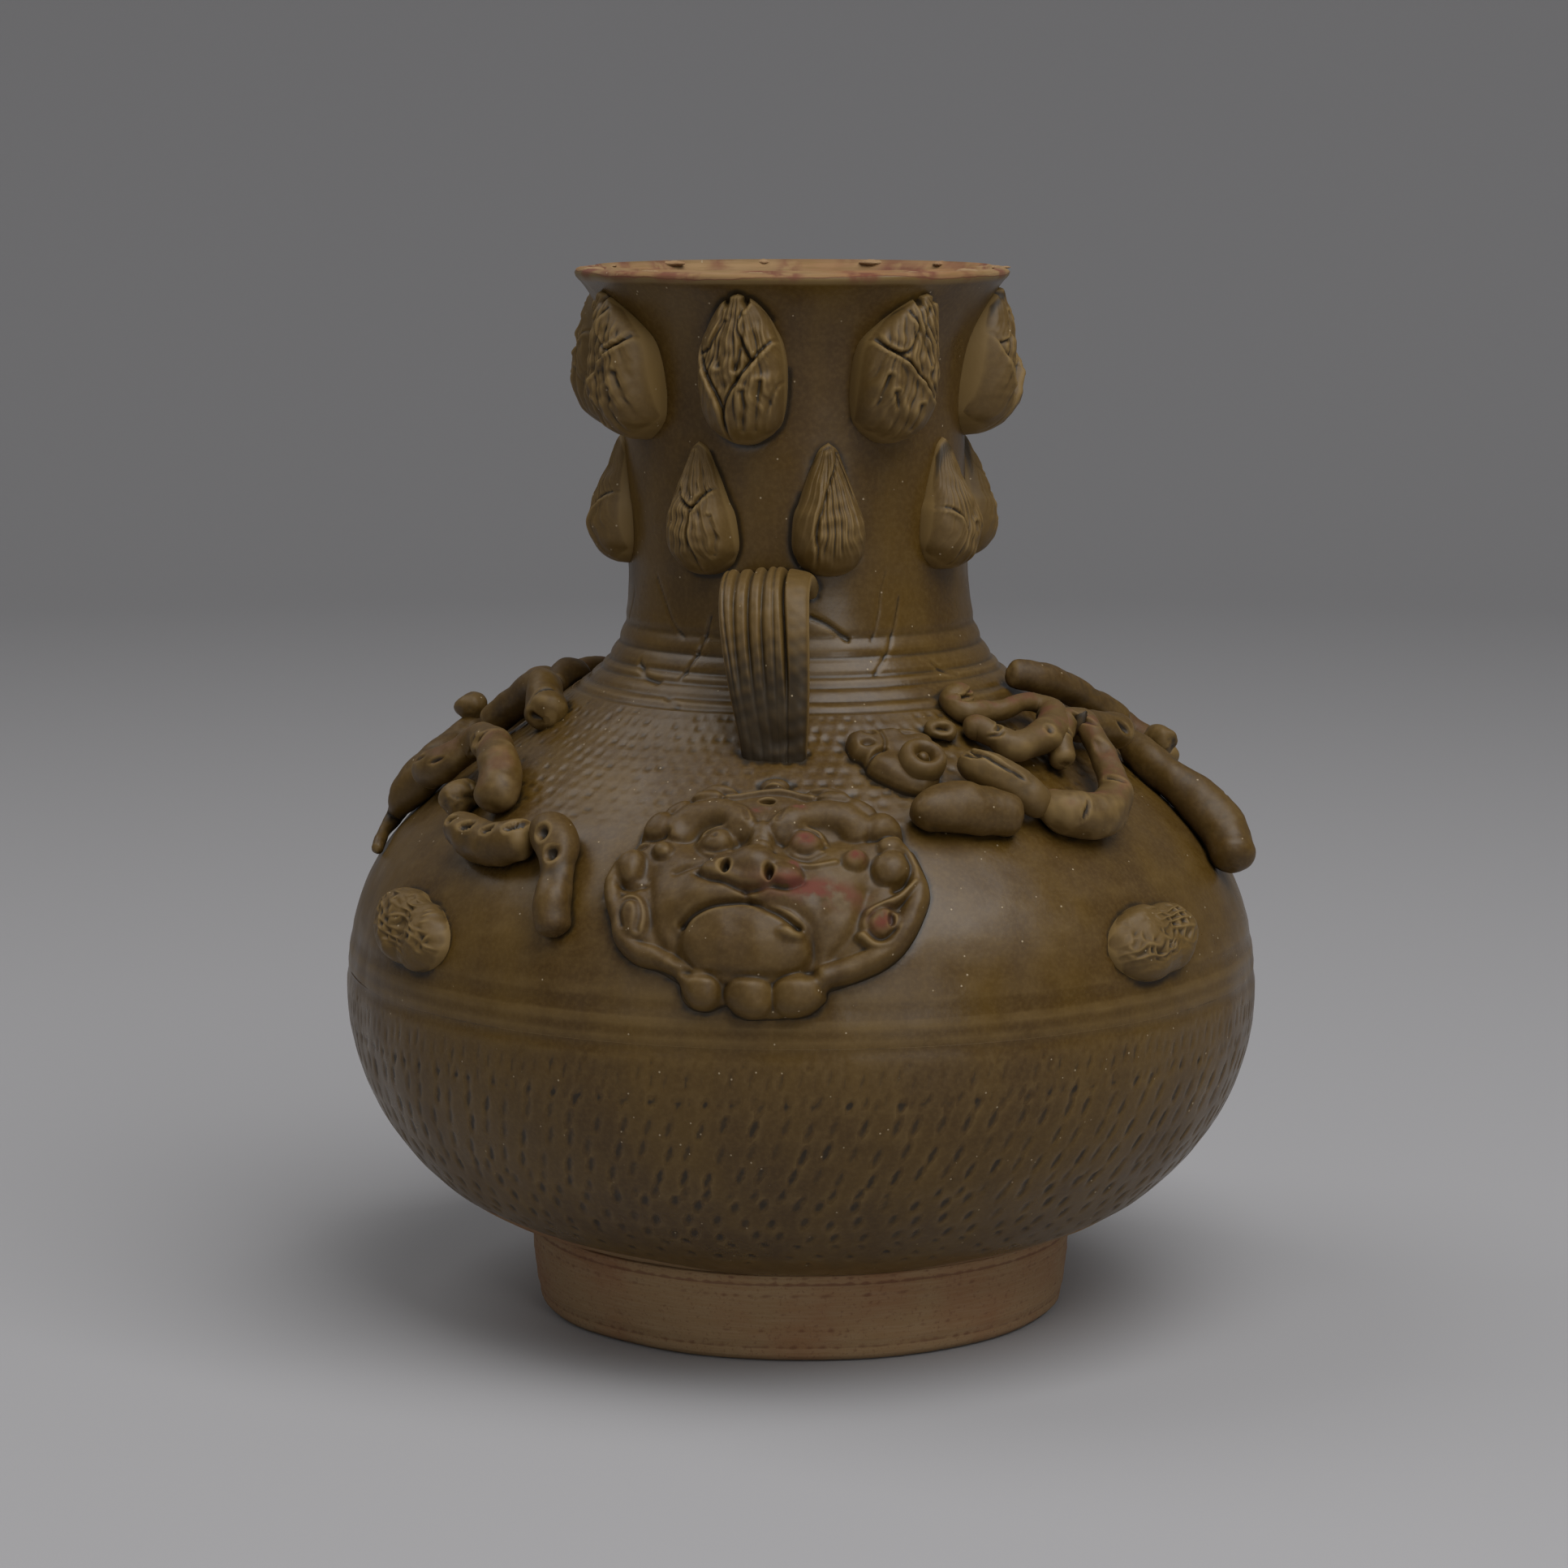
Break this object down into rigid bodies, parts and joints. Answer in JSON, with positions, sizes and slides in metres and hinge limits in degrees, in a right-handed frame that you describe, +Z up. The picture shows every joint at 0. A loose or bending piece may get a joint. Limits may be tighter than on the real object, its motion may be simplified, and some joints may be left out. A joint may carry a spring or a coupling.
{
  "type": "garlic-head vase",
  "caption": "Stoneware vase with a flared neck, strap handles, and applied garlic buds, lion masks, peanuts and coiled dragons under olive-brown glaze.",
  "frame": {"origin": "centre of the foot ring's underside, on the surface the vase stands on", "axes": "+Z up along the axis of the jar, -Y towards the front mask and handle, +X towards the right-hand dragon"},
  "size_m": [0.298, 0.3106, 0.34],
  "materials": {
    "glaze": "gloss",
    "pale_glaze": "gloss",
    "bare_clay": "matte"
  },
  "bodies": {
    "root": {"foot_ring": "bare_clay", "lower_bowl": "glaze", "upper_shoulder": "glaze", "neck": "glaze", "strap_handle_front": "pale_glaze", "lion_mask_front": "glaze", "peanut_front_left": "pale_glaze", "peanut_front_right": "pale_glaze", "strap_handle_back": "pale_glaze", "lion_mask_back": "glaze", "peanut_back_left": "pale_glaze", "peanut_back_right": "pale_glaze", "garlic_bud_high_1": "pale_glaze", "garlic_bud_low_1": "pale_glaze", "garlic_bud_high_2": "pale_glaze", "garlic_bud_low_2": "pale_glaze", "garlic_bud_high_3": "pale_glaze", "garlic_bud_low_3": "pale_glaze", "garlic_bud_high_4": "pale_glaze", "garlic_bud_low_4": "pale_glaze", "garlic_bud_high_5": "pale_glaze", "garlic_bud_low_5": "pale_glaze", "garlic_bud_high_6": "pale_glaze", "garlic_bud_low_6": "pale_glaze", "garlic_bud_high_7": "pale_glaze", "garlic_bud_low_7": "pale_glaze", "garlic_bud_high_8": "pale_glaze", "garlic_bud_low_8": "pale_glaze", "dragon_right_head": "glaze", "dragon_right_eye": "glaze", "dragon_right_horn": "pale_glaze", "dragon_right_brow": "pale_glaze", "dragon_right_foreleg_low": "glaze", "dragon_right_foreleg_high": "glaze", "dragon_right_neck_coil": "pale_glaze", "dragon_right_body": "glaze", "dragon_right_back": "glaze", "dragon_right_hip": "pale_glaze", "dragon_right_haunch": "glaze", "dragon_right_hind_coil": "glaze", "dragon_right_hind_knob": "pale_glaze", "dragon_right_hind_leg": "glaze", "dragon_right_hind_foot": "glaze", "dragon_left_head": "glaze", "dragon_left_eye": "glaze", "dragon_left_horn": "pale_glaze", "dragon_left_brow": "pale_glaze", "dragon_left_foreleg_low": "glaze", "dragon_left_foreleg_high": "glaze", "dragon_left_neck_coil": "pale_glaze", "dragon_left_body": "glaze", "dragon_left_back": "glaze", "dragon_left_hip": "pale_glaze", "dragon_left_haunch": "glaze", "dragon_left_hind_coil": "glaze", "dragon_left_hind_knob": "pale_glaze", "dragon_left_hind_leg": "glaze", "dragon_left_hind_foot": "glaze"}
  },
  "joints": []
}
